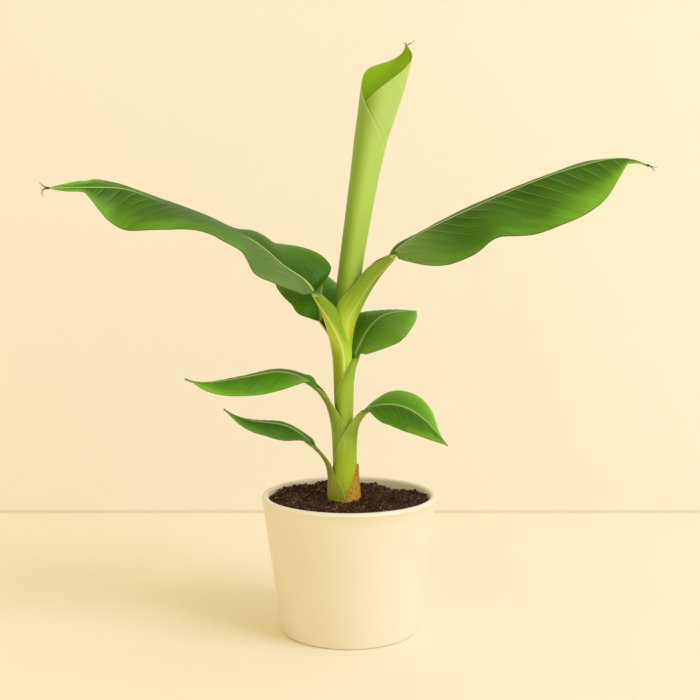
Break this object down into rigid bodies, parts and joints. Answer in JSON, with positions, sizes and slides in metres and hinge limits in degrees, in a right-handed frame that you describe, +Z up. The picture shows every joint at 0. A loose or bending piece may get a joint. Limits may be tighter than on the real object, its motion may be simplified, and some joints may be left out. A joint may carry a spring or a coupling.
{
  "type": "potted_banana_plant",
  "caption": "Young banana plant with arching green leaves and one leaf still rolled up, growing in a round cream ceramic pot of dark soil.",
  "frame": {"origin": "centre of the pot's flat underside, where the pot stands", "axes": "Z up. X to the right as the plant is seen from its front, Y to the back. Right-handed."},
  "size_m": [0.5447, 0.2717, 0.594],
  "materials": {
    "glazed_pot": "satin cream glaze",
    "potting_soil": "loose crumbly potting soil with bits of bark",
    "stem": "smooth waxy fleshy leaf sheath",
    "petiole": "smooth waxy fleshy stalk, finely ribbed",
    "leaf": "satin waxy leaf with fine parallel veins",
    "young_leaf": "smooth pale young leaf, rolled",
    "dried_sheath": "dry papery fibrous leaf sheath"
  },
  "bodies": {
    "root": {"pot": "glazed_pot", "soil": "potting_soil", "pseudostem": "stem", "rolled_leaf": "young_leaf", "upper_left_petiole": "petiole", "upper_left_blade": "leaf", "upper_right_petiole": "petiole", "upper_right_blade": "leaf", "back_petiole": "petiole", "back_blade": "leaf", "mid_right_petiole": "petiole", "mid_right_blade": "leaf", "lower_left_petiole": "petiole", "lower_left_blade": "leaf", "lower_right_petiole": "petiole", "lower_right_blade": "leaf", "lowest_left_petiole": "petiole", "lowest_left_blade": "leaf", "dried_sheath": "dried_sheath"}
  },
  "joints": []
}
